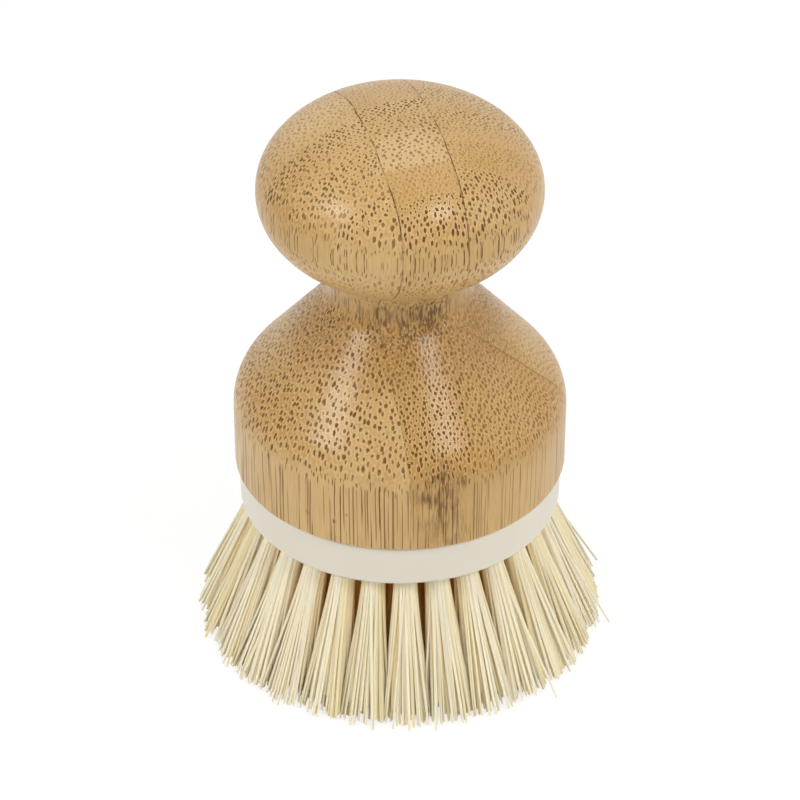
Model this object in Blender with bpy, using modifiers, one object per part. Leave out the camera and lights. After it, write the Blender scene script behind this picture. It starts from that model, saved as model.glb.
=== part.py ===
"""Round palm scrubbing brush: turned bamboo knob handle, screw-on tufted disc and splayed bristle tufts.

Metres, +Z up. The brush stands on its bristle tips, with the origin under the middle of the tip plane.
The handle turns about +Z and rises one thread pitch a turn until it is off the disc's threaded boss.
"""

import math

import bmesh
import bpy
import numpy as np
from mathutils import Vector

# Fits between neighbouring pieces
CLEARANCE = 0.0003
CUT_OVERRUN = 0.0015
MERGE_DISTANCE = 0.00001

# Bristle field, from the tips up to the underside of the disc; the tips overhang the disc's rim
BRISTLE_HEIGHT = 0.0251
TIP_OVERHANG = 0.00735
TUFT_HOLE_RADIUS = 0.0021
TUFT_HOLE_DEPTH = 0.0050
TIP_SPACING = 0.0005

# Tufted disc with its threaded boss; its rim steps in from the handle's base
DISC_STEP = 0.00075
DISC_THICKNESS = 0.0078
DISC_LOWER_ROUND = 0.0010
DISC_UPPER_ROUND = 0.0005
RIM_LAND = 0.00155
BOSS_RADIUS = 0.0090
BOSS_HEIGHT = 0.0110
BOSS_WALL = 0.0026
BOSS_CHAMFER = 0.0008

# Threaded socket glued into the handle
SOCKET_WALL = 0.0027
SOCKET_ROOF = 0.0022
SOCKET_RUN_OUT = 0.0006
SOCKET_LEAD_IN = 0.0006
FLANGE_REACH = 0.0024
FLANGE_THICKNESS = 0.0015

# Turned bamboo handle
BASE_RADIUS = 0.0288
BASE_EDGE_ROUND = 0.0004
SHOULDER_ROUND = 0.0106
CONE_ANGLE = math.radians(41.4)
WAIST_FILLET = 0.0060
KNOB_RADIUS = 0.0240
KNOB_HALF_HEIGHT = 0.0154
KNOB_CENTRE_HEIGHT = 0.0535
KNOB_FULLNESS = 2.05
WAIST_MEETS_KNOB = math.radians(50.8)

# Smoothness of turned and lofted surfaces
TURNED_SIDES = 60
INNER_SIDES = 36
TUFT_SIDES = 12
KNOB_STEPS = 20
WAIST_STEPS = 8
SHOULDER_STEPS = 5
EDGE_STEPS = 2
RIM_STEPS = 3
SHARP_ANGLE = math.radians(35)

# Exponent of a tuft's fanned tip section: 2 is an oval, and more is squarer
TIP_SQUARENESS = 3.2

# Spacing of the tuft holes along each row's circle
OUTER_TUFT_PITCH = 0.00525
MIDDLE_TUFT_PITCH = 0.00675
INNER_TUFT_PITCH = 0.00765
CENTRE_TUFT_PITCH = 0.00743

# Rows of tufts from the rim inwards: name, spacing and hole circle as a share of the outer row's
TUFT_ROW_SHARES = (
    ("outer_tuft", OUTER_TUFT_PITCH, 1.0),
    ("middle_tuft", MIDDLE_TUFT_PITCH, 0.734),
    ("inner_tuft", INNER_TUFT_PITCH, 0.468),
    ("centre_tuft", CENTRE_TUFT_PITCH, 0.202),
)
# Where one row's tips end and the next row's begin, as shares of the whole spread
TIP_EDGE_SHARES = (1.0, 0.825, 0.612, 0.357, 0.045)
FIRST_TUFT_ANGLE = math.radians(-87.9)

DISC_RADIUS = BASE_RADIUS - DISC_STEP
TIP_SPREAD_RADIUS = DISC_RADIUS + TIP_OVERHANG
DISC_BOTTOM = BRISTLE_HEIGHT
DISC_TOP = DISC_BOTTOM + DISC_THICKNESS
BOSS_TOP = DISC_TOP + BOSS_HEIGHT
HANDLE_BOTTOM = DISC_TOP + CLEARANCE
SOCKET_BORE_RADIUS = BOSS_RADIUS + CLEARANCE
SOCKET_RADIUS = SOCKET_BORE_RADIUS + SOCKET_WALL
FLANGE_RADIUS = SOCKET_RADIUS + FLANGE_REACH
SOCKET_BORE_TOP = BOSS_TOP + SOCKET_RUN_OUT
SOCKET_TOP = SOCKET_BORE_TOP + SOCKET_ROOF
OUTER_HOLE_CIRCLE = DISC_RADIUS - DISC_LOWER_ROUND - RIM_LAND - TUFT_HOLE_RADIUS

BAMBOO = ("bamboo", (0.60, 0.37, 0.15), 0.38)
CREAM_PLASTIC = ("cream_plastic", (0.78, 0.73, 0.61), 0.42)
SOCKET_PLASTIC = ("socket_plastic", (0.62, 0.60, 0.55), 0.45)
BRISTLE = ("bristle", (0.80, 0.70, 0.47), 0.55)


def clear_scene():
    for thing in list(bpy.data.objects):
        bpy.data.objects.remove(thing, do_unlink=True)


def new_collection(name):
    collection = bpy.data.collections.new(name)
    bpy.context.scene.collection.children.link(collection)
    return collection


def new_material(name, colour, roughness):
    material = bpy.data.materials.new(name)
    material.use_nodes = True
    shader = material.node_tree.nodes["Principled BSDF"]
    shader.inputs["Base Color"].default_value = (*colour, 1)
    shader.inputs["Roughness"].default_value = roughness
    shader.inputs["Metallic"].default_value = 0
    material.diffuse_color = (*colour, 1)
    return material


def new_object(name, mesh, collection, material):
    mesh.materials.append(material)
    thing = bpy.data.objects.new(name, mesh)
    collection.objects.link(thing)
    return thing


def arc(centre, radius, start, end, steps):
    """Points on an arc in the profile plane, from one angle to another, both ends included."""
    angles = np.linspace(start, end, steps + 1)
    return [(centre[0] + radius * math.cos(a), centre[1] + radius * math.sin(a)) for a in angles]


def superellipse(centre, half_width, half_height, fullness, start, end, steps):
    """Points on a superellipse in the profile plane; the angle runs from the widest point towards the top."""
    points = []
    for angle in np.linspace(start, end, steps + 1):
        across = abs(math.cos(angle)) ** (2 / fullness)
        up = math.copysign(abs(math.sin(angle)) ** (2 / fullness), angle)
        points.append((centre[0] + half_width * across, centre[1] + half_height * up))
    return points


def turned(name, profile, sides, collection, material):
    """A solid of revolution: the profile runs from the axis down the outer side and back to the axis."""
    mesh = bpy.data.meshes.new(name)
    points = [(x, 0, z) for x, z in profile]
    points[0] = (0, 0, points[0][2])
    points[-1] = (0, 0, points[-1][2])
    edges = [(i, i + 1) for i in range(len(points) - 1)]
    mesh.from_pydata(points, edges, [])
    thing = new_object(name, mesh, collection, material)
    screw = thing.modifiers.new("Turning", "SCREW")
    screw.steps = sides
    screw.render_steps = sides
    screw.use_merge_vertices = True
    screw.merge_threshold = MERGE_DISTANCE
    screw.use_smooth_shade = True
    return thing


def knob_contact(knob_centre):
    """Where the waist fillet touches the knob's underside, and the knob's outward direction there."""
    latitude = -WAIST_MEETS_KNOB
    size = (KNOB_RADIUS, KNOB_HALF_HEIGHT)
    contact = Vector(superellipse(knob_centre, *size, KNOB_FULLNESS, latitude, latitude, 0)[0])
    share_x = contact.x / KNOB_RADIUS
    share_y = (knob_centre[1] - contact.y) / KNOB_HALF_HEIGHT
    power = KNOB_FULLNESS - 1
    outward = Vector((share_x**power / KNOB_RADIUS, -(share_y**power) / KNOB_HALF_HEIGHT))
    return contact, outward.normalized()


def handle_outline():
    """The handle's outer side from the knob's top to its foot: knob, waist fillet, cone, shoulder and band.

    Each curve is tangent to the next one. The waist's centre lies one fillet radius off the knob, the cone
    touches the waist's circle, and the shoulder's circle touches both the cone and the upright band.
    """
    knob_centre = (0, HANDLE_BOTTOM + KNOB_CENTRE_HEIGHT)
    contact, outward = knob_contact(knob_centre)
    waist_centre = contact + WAIST_FILLET * outward
    cone_normal = Vector((math.cos(CONE_ANGLE), math.sin(CONE_ANGLE)))
    cone_top = waist_centre - WAIST_FILLET * cone_normal
    shoulder_x = BASE_RADIUS - SHOULDER_ROUND
    shoulder_along = cone_top.dot(cone_normal) - SHOULDER_ROUND - shoulder_x * cone_normal.x
    shoulder_centre = (shoulder_x, shoulder_along / cone_normal.y)
    edge_centre = (BASE_RADIUS - BASE_EDGE_ROUND, HANDLE_BOTTOM + BASE_EDGE_ROUND)
    size = (KNOB_RADIUS, KNOB_HALF_HEIGHT)
    from_knob = math.atan2(-outward.y, -outward.x)

    outline = superellipse(knob_centre, *size, KNOB_FULLNESS, math.pi / 2, -WAIST_MEETS_KNOB, KNOB_STEPS)
    outline += arc(waist_centre, WAIST_FILLET, from_knob, math.pi + CONE_ANGLE, WAIST_STEPS)[1:]
    outline += arc(shoulder_centre, SHOULDER_ROUND, CONE_ANGLE, 0, SHOULDER_STEPS)
    outline += arc(edge_centre, BASE_EDGE_ROUND, 0, -math.pi / 2, EDGE_STEPS)
    return outline


def handle_profile():
    """The outer side, then the flat foot with its counterbore and blind bore for the socket."""
    bore_radius = SOCKET_RADIUS + CLEARANCE
    counterbore_radius = FLANGE_RADIUS + CLEARANCE
    counterbore_top = HANDLE_BOTTOM + FLANGE_THICKNESS + CLEARANCE
    bore_top = SOCKET_TOP + CLEARANCE
    return handle_outline() + [
        (counterbore_radius, HANDLE_BOTTOM),
        (counterbore_radius, counterbore_top),
        (bore_radius, counterbore_top),
        (bore_radius, bore_top),
        (0, bore_top),
    ]


def socket_profile():
    """A cup with its mouth down, a flange round the mouth and a small lead-in at the bore's edge."""
    flange_top = HANDLE_BOTTOM + FLANGE_THICKNESS
    return [
        (0, SOCKET_TOP),
        (SOCKET_RADIUS, SOCKET_TOP),
        (SOCKET_RADIUS, flange_top),
        (FLANGE_RADIUS, flange_top),
        (FLANGE_RADIUS, HANDLE_BOTTOM),
        (SOCKET_BORE_RADIUS + SOCKET_LEAD_IN, HANDLE_BOTTOM),
        (SOCKET_BORE_RADIUS, HANDLE_BOTTOM + SOCKET_LEAD_IN),
        (SOCKET_BORE_RADIUS, SOCKET_BORE_TOP),
        (0, SOCKET_BORE_TOP),
    ]


def disc_profile():
    """The disc with rounded edges and the cored boss on its top."""
    core_radius = BOSS_RADIUS - BOSS_WALL
    upper_centre = (DISC_RADIUS - DISC_UPPER_ROUND, DISC_TOP - DISC_UPPER_ROUND)
    lower_centre = (DISC_RADIUS - DISC_LOWER_ROUND, DISC_BOTTOM + DISC_LOWER_ROUND)
    outline = [
        (0, DISC_TOP),
        (core_radius, DISC_TOP),
        (core_radius, BOSS_TOP),
        (BOSS_RADIUS - BOSS_CHAMFER, BOSS_TOP),
        (BOSS_RADIUS, BOSS_TOP - BOSS_CHAMFER),
        (BOSS_RADIUS, DISC_TOP),
    ]
    outline += arc(upper_centre, DISC_UPPER_ROUND, math.pi / 2, 0, EDGE_STEPS)
    outline += arc(lower_centre, DISC_LOWER_ROUND, 0, -math.pi / 2, RIM_STEPS)
    outline += [(0, DISC_BOTTOM)]
    return outline


def tuft_frame(angle, hole_circle, tip_circle):
    """The hole mouth, the outward and sideways directions, and the unit vector up the splayed tuft."""
    outward = Vector((math.cos(angle), math.sin(angle), 0))
    sideways = Vector((-math.sin(angle), math.cos(angle), 0))
    mouth = outward * hole_circle + Vector((0, 0, DISC_BOTTOM))
    tip = outward * tip_circle
    return mouth, outward, sideways, (mouth - tip).normalized()


def round_section(centre, across, sideways):
    """Points round an oval whose two half widths are the lengths of the given vectors."""
    angles = [math.tau * (k + 0.5) / TUFT_SIDES for k in range(TUFT_SIDES)]
    return [centre + across * math.cos(a) + sideways * math.sin(a) for a in angles]


def fanned_section(angle, half_angle, tip_circle, half_depth):
    """Points round a squarish sector on the tip plane, which follows the circle that the tuft stands on."""
    points = []
    for k in range(TUFT_SIDES):
        a = math.tau * (k + 0.5) / TUFT_SIDES
        across = math.copysign(abs(math.cos(a)) ** (2 / TIP_SQUARENESS), math.cos(a))
        around = math.copysign(abs(math.sin(a)) ** (2 / TIP_SQUARENESS), math.sin(a))
        radius = tip_circle + half_depth * across
        turn = angle + half_angle * around
        points.append(Vector((radius * math.cos(turn), radius * math.sin(turn), 0)))
    return points


def lofted(name, sections, collection, material):
    """A closed solid through sections of equal point counts, given from the top down."""
    build = bmesh.new()
    rings = [[build.verts.new(point) for point in section] for section in sections]
    for upper, lower in zip(rings, rings[1:]):
        for k in range(TUFT_SIDES):
            following = (k + 1) % TUFT_SIDES
            build.faces.new((upper[k], lower[k], lower[following], upper[following]))
    build.faces.new(rings[0])
    build.faces.new(reversed(rings[-1]))
    mesh = bpy.data.meshes.new(name)
    build.to_mesh(mesh)
    build.free()
    mesh.shade_smooth()
    mesh.set_sharp_from_angle(angle=SHARP_ANGLE)
    return new_object(name, mesh, collection, material)


def tuft(name, angle, count, row, collection, material):
    """One bundle: a round root in its splayed hole that fans out into a squarish sector at the tips."""
    hole_circle, tip_circle, half_depth = row
    mouth, outward, sideways, up_tuft = tuft_frame(angle, hole_circle, tip_circle)
    radius = TUFT_HOLE_RADIUS - CLEARANCE
    root = mouth + up_tuft * (TUFT_HOLE_DEPTH - CLEARANCE)
    across_root = sideways.cross(up_tuft).normalized() * radius
    across_mouth = outward * (radius / up_tuft.z)
    mouth_section = round_section(mouth, across_mouth, sideways * radius)
    half_angle = math.pi / count - TIP_SPACING / (2 * (tip_circle - half_depth))
    tip_section = fanned_section(angle, half_angle, tip_circle, half_depth)
    halfway = [(a + b) / 2 for a, b in zip(mouth_section, tip_section)]
    sections = [round_section(root, across_root, sideways * radius), mouth_section, halfway, tip_section]
    return lofted(name, sections, collection, material)


def hole_cutter(rows, collection, material):
    """One drill body for each tuft hole, all in one mesh, each square to its splayed axis."""
    build = bmesh.new()
    for _, angle, hole_circle, tip_circle in rows:
        mouth, outward, sideways, up_tuft = tuft_frame(angle, hole_circle, tip_circle)
        across = sideways.cross(up_tuft).normalized() * TUFT_HOLE_RADIUS
        ends = []
        for along in (TUFT_HOLE_DEPTH, -CUT_OVERRUN):
            section = round_section(mouth + up_tuft * along, across, sideways * TUFT_HOLE_RADIUS)
            ends.append([build.verts.new(point) for point in section])
        top, bottom = ends
        for k in range(TUFT_SIDES):
            following = (k + 1) % TUFT_SIDES
            build.faces.new((top[k], bottom[k], bottom[following], top[following]))
        build.faces.new(top)
        build.faces.new(reversed(bottom))
    mesh = bpy.data.meshes.new("tuft_hole_drills")
    build.to_mesh(mesh)
    build.free()
    cutter = new_object("tuft_hole_drills", mesh, collection, material)
    cutter.hide_render = True
    cutter.display_type = "WIRE"
    return cutter


def tuft_places():
    """Every tuft as its name, its angle round the disc, its row's count and its row's sizes."""
    places = []
    edges = [share * TIP_SPREAD_RADIUS for share in TIP_EDGE_SHARES]
    for (name, pitch, share), outer_edge, inner_edge in zip(TUFT_ROW_SHARES, edges, edges[1:]):
        hole_circle = share * OUTER_HOLE_CIRCLE
        count = round(math.tau * hole_circle / pitch)
        tip_circle = (outer_edge + inner_edge) / 2
        half_depth = (outer_edge - inner_edge - TIP_SPACING) / 2
        row = (hole_circle, tip_circle, half_depth)
        for k in range(count):
            angle = FIRST_TUFT_ANGLE + math.tau * k / count
            places.append((f"{name}_{k + 1:02d}", angle, count, row))
    return places


def main():
    clear_scene()
    brush = new_collection("round_cleaning_brush")
    cutters = new_collection("cutters")
    bamboo = new_material(*BAMBOO)
    cream_plastic = new_material(*CREAM_PLASTIC)
    socket_plastic = new_material(*SOCKET_PLASTIC)
    bristle = new_material(*BRISTLE)

    turned("handle", handle_profile(), TURNED_SIDES, brush, bamboo)
    turned("thread_socket", socket_profile(), INNER_SIDES, brush, socket_plastic)
    disc = turned("bristle_disc", disc_profile(), TURNED_SIDES, brush, cream_plastic)
    places = tuft_places()
    for name, angle, count, row in places:
        tuft(name, angle, count, row, brush, bristle)
    drills = [(name, angle, row[0], row[1]) for name, angle, _, row in places]
    cut = disc.modifiers.new("Tuft holes", "BOOLEAN")
    cut.operation = "DIFFERENCE"
    cut.object = hole_cutter(drills, cutters, cream_plastic)
    cut.solver = "EXACT"


main()
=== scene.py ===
"""Round cleaning brush: bamboo, cream plastic and splayed bristles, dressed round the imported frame.

The file is laid out as an add-on and run as a script. Sizes are metres, +Z is up, -Y faces the camera, and the
brush stands on its bristle tips. Every piece is a surface worked out as whole numpy arrays.
"""

import math

import bpy
import numpy as np
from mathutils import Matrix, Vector


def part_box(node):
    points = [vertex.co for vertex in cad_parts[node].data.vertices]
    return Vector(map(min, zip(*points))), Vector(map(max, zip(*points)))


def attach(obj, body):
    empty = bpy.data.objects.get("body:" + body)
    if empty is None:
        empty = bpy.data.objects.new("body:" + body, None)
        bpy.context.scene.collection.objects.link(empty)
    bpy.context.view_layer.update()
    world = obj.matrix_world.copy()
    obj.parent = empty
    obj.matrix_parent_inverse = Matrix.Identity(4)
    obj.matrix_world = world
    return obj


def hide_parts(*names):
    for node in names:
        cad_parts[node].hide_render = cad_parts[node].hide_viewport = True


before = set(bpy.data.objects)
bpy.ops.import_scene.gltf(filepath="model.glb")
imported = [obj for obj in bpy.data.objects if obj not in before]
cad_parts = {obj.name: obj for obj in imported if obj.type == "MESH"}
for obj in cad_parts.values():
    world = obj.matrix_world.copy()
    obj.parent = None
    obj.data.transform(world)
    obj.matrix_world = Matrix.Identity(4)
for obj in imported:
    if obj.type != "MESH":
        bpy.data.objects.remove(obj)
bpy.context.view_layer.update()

bl_info = {
    "name": "Round Cleaning Brush",
    "version": (1, 0, 0),
    "blender": (4, 5, 0),
    "location": "View3D > Sidebar > Brush",
    "description": "Builds a turned bamboo palm brush with its disc, bristles and stage",
    "category": "Object",
}

MM = 0.001

# Places taken from the frame
HANDLE_LOW, HANDLE_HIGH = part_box("handle")
SOCKET_LOW, SOCKET_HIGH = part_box("thread_socket")
DISC_LOW, DISC_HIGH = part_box("bristle_disc")
TUFT_NODES = sorted(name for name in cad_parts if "tuft" in name)

# How finely surfaces are divided
HANDLE_SIDES = 224
DISC_SIDES = 192
SOCKET_SIDES = 160
THREAD_STEPS = 72
DRILL_SIDES = 20
BRISTLE_SIDES = 5
BRISTLE_STEPS = 8
FLOOR_SIDES = 64

# Above these angles an edge stays sharp, on solid pieces and on bristles
SHARP = math.radians(35)
BRISTLE_SHARP = math.radians(60)

# How near to a plane a CAD point counts as on it, how high the tips stand, how far up its hole a bundle
# begins as a share of the hole's depth, and the seed of the first bundle's random draws
TOUCH = 0.01 * MM
TIP_LIFT = 0.1 * MM
ROOT_SHARE = 0.6
FIRST_SEED = 100
# Bristles count as inner ones past this far in from the disc's rim, fully so after the fade
INNER_START = 3.4 * MM
INNER_FADE = 3.2 * MM
# A bundle's packed core, as shares: its width in the grooves, where its flutes end, its hollow end's width
CORE_GROOVE = 0.92
CORE_CUT = (0.84, 0.97)
CORE_HOLLOW = 0.7


# Kinds of setting


def length(name, description, default):
    """A size in metres."""
    return bpy.props.FloatProperty(name=name, description=description, default=default, unit="LENGTH")


def angle(name, description, degrees):
    """An angle, whose default is given in degrees."""
    default = math.radians(degrees)
    return bpy.props.FloatProperty(name=name, description=description, default=default, subtype="ANGLE")


def number(name, description, default):
    """A count where the default is a whole number, and a share or a plain number elsewhere."""
    kind = bpy.props.IntProperty if isinstance(default, int) else bpy.props.FloatProperty
    return kind(name=name, description=description, default=default)


def tint(name, description, *default):
    """A colour, given as linear red, green and blue."""
    return bpy.props.FloatVectorProperty(name=name, description=description, default=default, subtype="COLOR")


class BrushHandleSizes(bpy.types.PropertyGroup):
    """Sizes of the turned handle: knob, waist, cone, shoulder and foot."""

    base_radius: length("Base radius", "Radius of the upright band", HANDLE_HIGH.x)
    edge_round: length("Edge round", "Radius of the foot's edge", 0.4 * MM)
    shoulder_round: length("Shoulder round", "Radius from the cone into the band", 10.6 * MM)
    cone_angle: angle("Cone angle", "Slope of the bell", 41.4)
    waist_fillet: length("Waist fillet", "Radius of the hollow under the knob", 6.0 * MM)
    knob_radius: length("Knob radius", "Half the knob's width", 24.0 * MM)
    knob_half_height: length("Knob half height", "Half the knob's height", 15.4 * MM)
    knob_fullness: number("Knob fullness", "Exponent of the knob's outline, 2 is an ellipse", 2.05)
    waist_meets_knob: angle("Waist meets knob", "Latitude where the hollow touches the knob", 50.8)
    bore_clearance: length("Bore clearance", "Gap round the socket in its bore", 0.3 * MM)


class BrushHeadSizes(bpy.types.PropertyGroup):
    """Sizes of the moulded disc, its threaded boss and the socket."""

    disc_top: length("Disc top", "Height of the face that the handle seats on", HANDLE_LOW.z - 0.3 * MM)
    upper_round: length("Upper round", "Radius of the disc's upper edge", 0.5 * MM)
    lower_round: length("Lower round", "Radius of the disc's lower edge", 1.0 * MM)
    boss_radius: length("Boss radius", "Radius over the thread's crests", 9.0 * MM)
    boss_wall: length("Boss wall", "Wall round the boss's core", 2.6 * MM)
    boss_chamfer: length("Boss chamfer", "Bevel at the boss's mouth", 0.8 * MM)
    thread_pitch: length("Thread pitch", "Rise of one turn", 3.0 * MM)
    thread_depth: length("Thread depth", "Height of the thread's ridge", 0.8 * MM)
    thread_clearance: length("Thread clearance", "Gap between boss and socket", 0.3 * MM)
    socket_roof: length("Socket roof", "Thickness of the socket's closed end", 2.2 * MM)
    flange_reach: length("Flange reach", "How far the flange stands out", 2.4 * MM)
    flange_thickness: length("Flange thickness", "Thickness of the flange", 1.5 * MM)
    hole_clearance: length("Hole clearance", "Gap round a bundle's root", 0.3 * MM)
    hole_depth: length("Hole depth", "Depth of a bundle's hole", 5.0 * MM)


class BrushBristleSizes(bpy.types.PropertyGroup):
    """Sizes and habits of the bristles."""

    fibre_radius: length("Fibre radius", "Mean radius of one bristle", 0.29 * MM)
    outer_count: number("Rim count", "Bristles in a bundle of the rim's row", 135)
    inner_count: number("Inner count", "Bristles in a bundle of the inner rows", 90)
    fan: number("Fan", "How far a bundle opens at its tips, as a share of its sector", 1.34)
    hole_slack: length("Hole slack", "How far a bundle swells in its hole", 0.25 * MM)
    tip_swell: length("Tip swell", "How far the tips stand out of the CAD's bundles", 1.3 * MM)
    clump_size: number("Clump size", "How many bristles cling together in a bundle", 6)
    clump_pull: number("Clump pull", "Share of the way that a tip is drawn to its clump", 0.3)
    wander: length("Wander", "Sideways drift of a bristle at its tip", 0.24 * MM)
    bow: length("Bow", "How far a bristle bows on its way", 0.11 * MM)
    core_share: number("Core share", "Width of a bundle's packed core, as a share of the bundle", 0.86)
    core_flutes: number("Core flutes", "Flutes round the packed core of a bundle", 34)
    stray_share: number("Stray share", "Share of bristles that leave their bundle", 0.065)
    stray_reach: length("Stray reach", "How far a stray bristle leans over", 1.7 * MM)
    short_reach: length("Short reach", "Unevenness of the cut tips", 0.6 * MM)


class BrushColours(bpy.types.PropertyGroup):
    """Colours of the finished surfaces, as linear values."""

    bamboo_pale: tint("Bamboo, pale", "Palest strips", 0.62, 0.40, 0.165)
    bamboo_deep: tint("Bamboo, deep", "Toasted strips", 0.445, 0.228, 0.044)
    # The rim colour is a pale ring drawn round each cut bundle on upward faces
    bamboo_rim: tint("Bamboo, rim", "Soft tissue round the bundles", 0.77, 0.56, 0.27)
    bamboo_wall: tint("Bamboo, wall", "Upright faces, cut along the grain", 0.665, 0.48, 0.22)
    bundle: tint("Fibre bundle", "Cut fibre bundles", 0.155, 0.058, 0.003)
    glue: tint("Glue line", "Seams between columns", 0.09, 0.035, 0.008)
    disc: tint("Disc", "Cream moulding", 0.73, 0.68, 0.57)
    socket: tint("Socket", "Grey cream moulding", 0.60, 0.575, 0.51)
    bristle_pale: tint("Bristle, pale", "Ivory bristles", 0.93, 0.835, 0.605)
    bristle_deep: tint("Bristle, deep", "Straw bristles", 0.865, 0.72, 0.39)
    # Painted shade: the warmer colour laid on the middle of each bundle
    bristle_core_shade: tint("Bristle, core", "Bristles in the middle of a bundle", 0.86, 0.72, 0.42)
    # Painted shade: the brown laid on the roots of the inner rows
    bristle_root_shade: tint("Bristle, root", "Shaded roots of the inner rows", 0.72, 0.42, 0.10)
    # Painted glow: emission on the inner roots that stands in for light coming through the bundles
    bristle_painted_glow: tint("Bristle, glow", "Light that comes through the bundles to the inner roots",
                       0.022, 0.0085, 0.0005)
    # The smudge colour is also the painted shade round the neck under the knob
    smudge_and_shade: tint("Smudge", "Brown marks on the bamboo", 0.14, 0.062, 0.009)


class BrushStageSettings(bpy.types.PropertyGroup):
    """Floor and camera."""

    floor_radius: length("Floor radius", "Radius of the floor", 3.0)
    lens: number("Lens", "Focal length in millimetres", 145.5)
    camera_distance: length("Camera distance", "From the aim point", 0.560)
    camera_height: length("Aim height", "Height of the aim point", HANDLE_LOW.z + 10.7 * MM)
    camera_elevation: angle("Camera elevation", "Angle above level", 35)


# Mesh helpers


def new_mesh(name, points, faces):
    """A mesh from an array of points and a list of face arrays, one array for each number of corners."""
    corners = np.concatenate([group.ravel() for group in faces])
    counts = np.concatenate([np.full(len(group), group.shape[1]) for group in faces])
    starts = np.concatenate([[0], np.cumsum(counts)[:-1]])
    mesh = bpy.data.meshes.new(name)
    mesh.vertices.add(len(points))
    mesh.vertices.foreach_set("co", np.asarray(points, np.float32).ravel())
    mesh.loops.add(len(corners))
    mesh.loops.foreach_set("vertex_index", corners.astype(np.int32))
    mesh.polygons.add(len(counts))
    mesh.polygons.foreach_set("loop_start", starts.astype(np.int32))
    mesh.update(calc_edges=True)
    mesh.validate()
    return mesh


def keep(mesh, name, values):
    """Stores one number or one vector for each point of the mesh, for its material to read."""
    values = np.asarray(values, np.float32)
    kind, field = ("FLOAT", "value") if values.ndim == 1 else ("FLOAT_VECTOR", "vector")
    mesh.attributes.new(name, kind, "POINT").data.foreach_set(field, values.ravel())


def placed(name, data):
    """A new object for the data, at the scene's origin."""
    thing = bpy.data.objects.new(name, data)
    bpy.context.scene.collection.objects.link(thing)
    return thing


def new_piece(name, mesh, material, sharp=SHARP):
    """An object at the origin that holds the mesh, smooth apart from its sharp edges."""
    mesh.shade_smooth()
    mesh.set_sharp_from_angle(angle=sharp)
    mesh.materials.append(material)
    return placed(name, mesh)


def ring_quads(rows, columns):
    """Quads of a grid whose rows run down the outside and close on themselves anticlockwise."""
    row = np.arange(rows - 1)[:, None] * columns
    here = np.arange(columns)[None, :]
    following = (here + 1) % columns
    quads = np.stack([row + here, row + columns + here, row + columns + following, row + following], axis=-1)
    return quads.reshape(-1, 4)


def circle(sides):
    """Points (cos a, sin a) at evenly spaced angles, one row for each."""
    turn = math.tau * np.arange(sides) / sides
    return np.stack([np.cos(turn), np.sin(turn)], axis=1)


def turned_mesh(name, profile, sides, ridge=None):
    """A closed surface of revolution.

    The profile is an array of (radius, height) rows from the axis, down the outer side and back to the axis.
    Each ring stands at x = r cos(a), y = r sin(a); a ridge function may change r by height and angle. The two
    ends on the axis are single points with a fan of triangles.
    """
    angles = np.linspace(0, math.tau, sides, endpoint=False)[None, :]
    radius = np.repeat(profile[1:-1, :1], sides, axis=1)
    height = np.repeat(profile[1:-1, 1:], sides, axis=1)
    if ridge is not None:
        radius = ridge(radius, height, angles)
    rings = np.stack([radius * np.cos(angles), radius * np.sin(angles), height], axis=-1).reshape(-1, 3)
    poles = [(0, 0, profile[0, 1]), (0, 0, profile[-1, 1])]
    points = np.concatenate([rings, poles])
    rows = len(profile) - 2
    here = np.arange(sides)
    following = (here + 1) % sides
    first, last = np.full(sides, rows * sides), np.full(sides, rows * sides + 1)
    foot = (rows - 1) * sides
    caps = np.concatenate([
        np.stack([first, here, following], axis=-1),
        np.stack([last, foot + following, foot + here], axis=-1),
    ])
    return new_mesh(name, points, [ring_quads(rows, sides), caps])


def arc(centre, radius, start, end, steps):
    """Points centre + radius (cos a, sin a) for angles from start to end."""
    angles = np.linspace(start, end, steps + 1)[:, None]
    return np.array(centre) + radius * np.concatenate([np.cos(angles), np.sin(angles)], axis=1)


def stretch(start, end, steps):
    """Points that divide a straight stretch evenly, without its two ends."""
    shares = np.linspace(0, 1, steps + 1)[1:-1, None]
    return np.array(start) * (1 - shares) + np.array(end) * shares


def superellipse(centre, half_width, half_height, fullness, start, end, steps):
    """Points (half_width |cos a|^(2/n), half_height |sin a|^(2/n)) from the centre, n being the fullness."""
    angles = np.linspace(start, end, steps + 1)
    across = half_width * np.abs(np.cos(angles)) ** (2 / fullness)
    up = half_height * np.copysign(np.abs(np.sin(angles)) ** (2 / fullness), angles)
    return np.array(centre) + np.stack([across, up], axis=1)


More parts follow.
